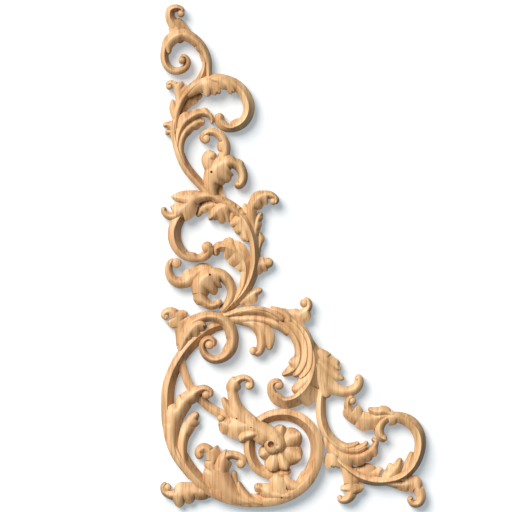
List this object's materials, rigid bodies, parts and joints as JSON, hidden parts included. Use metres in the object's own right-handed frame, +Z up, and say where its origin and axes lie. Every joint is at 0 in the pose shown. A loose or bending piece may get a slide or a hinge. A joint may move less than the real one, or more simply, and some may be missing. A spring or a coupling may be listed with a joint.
{
  "type": "wooden corner onlay",
  "caption": "Pierced carved wooden corner onlay of scrolled acanthus stems, a flower in its lower ring, on a flat back.",
  "frame": {"origin": "on the flat back, behind the trunk of the corner leaf, where the onlay is glued to its panel", "axes": "+X to the right as seen from the front, +Y out of the flat back into the panel, +Z up along the tall leg"},
  "size_m": [0.2661, 0.02, 0.5031],
  "materials": {
    "wood": "sanded, unfinished beech"
  },
  "bodies": {
    "root": {"carved_onlay": "wood"}
  },
  "joints": []
}
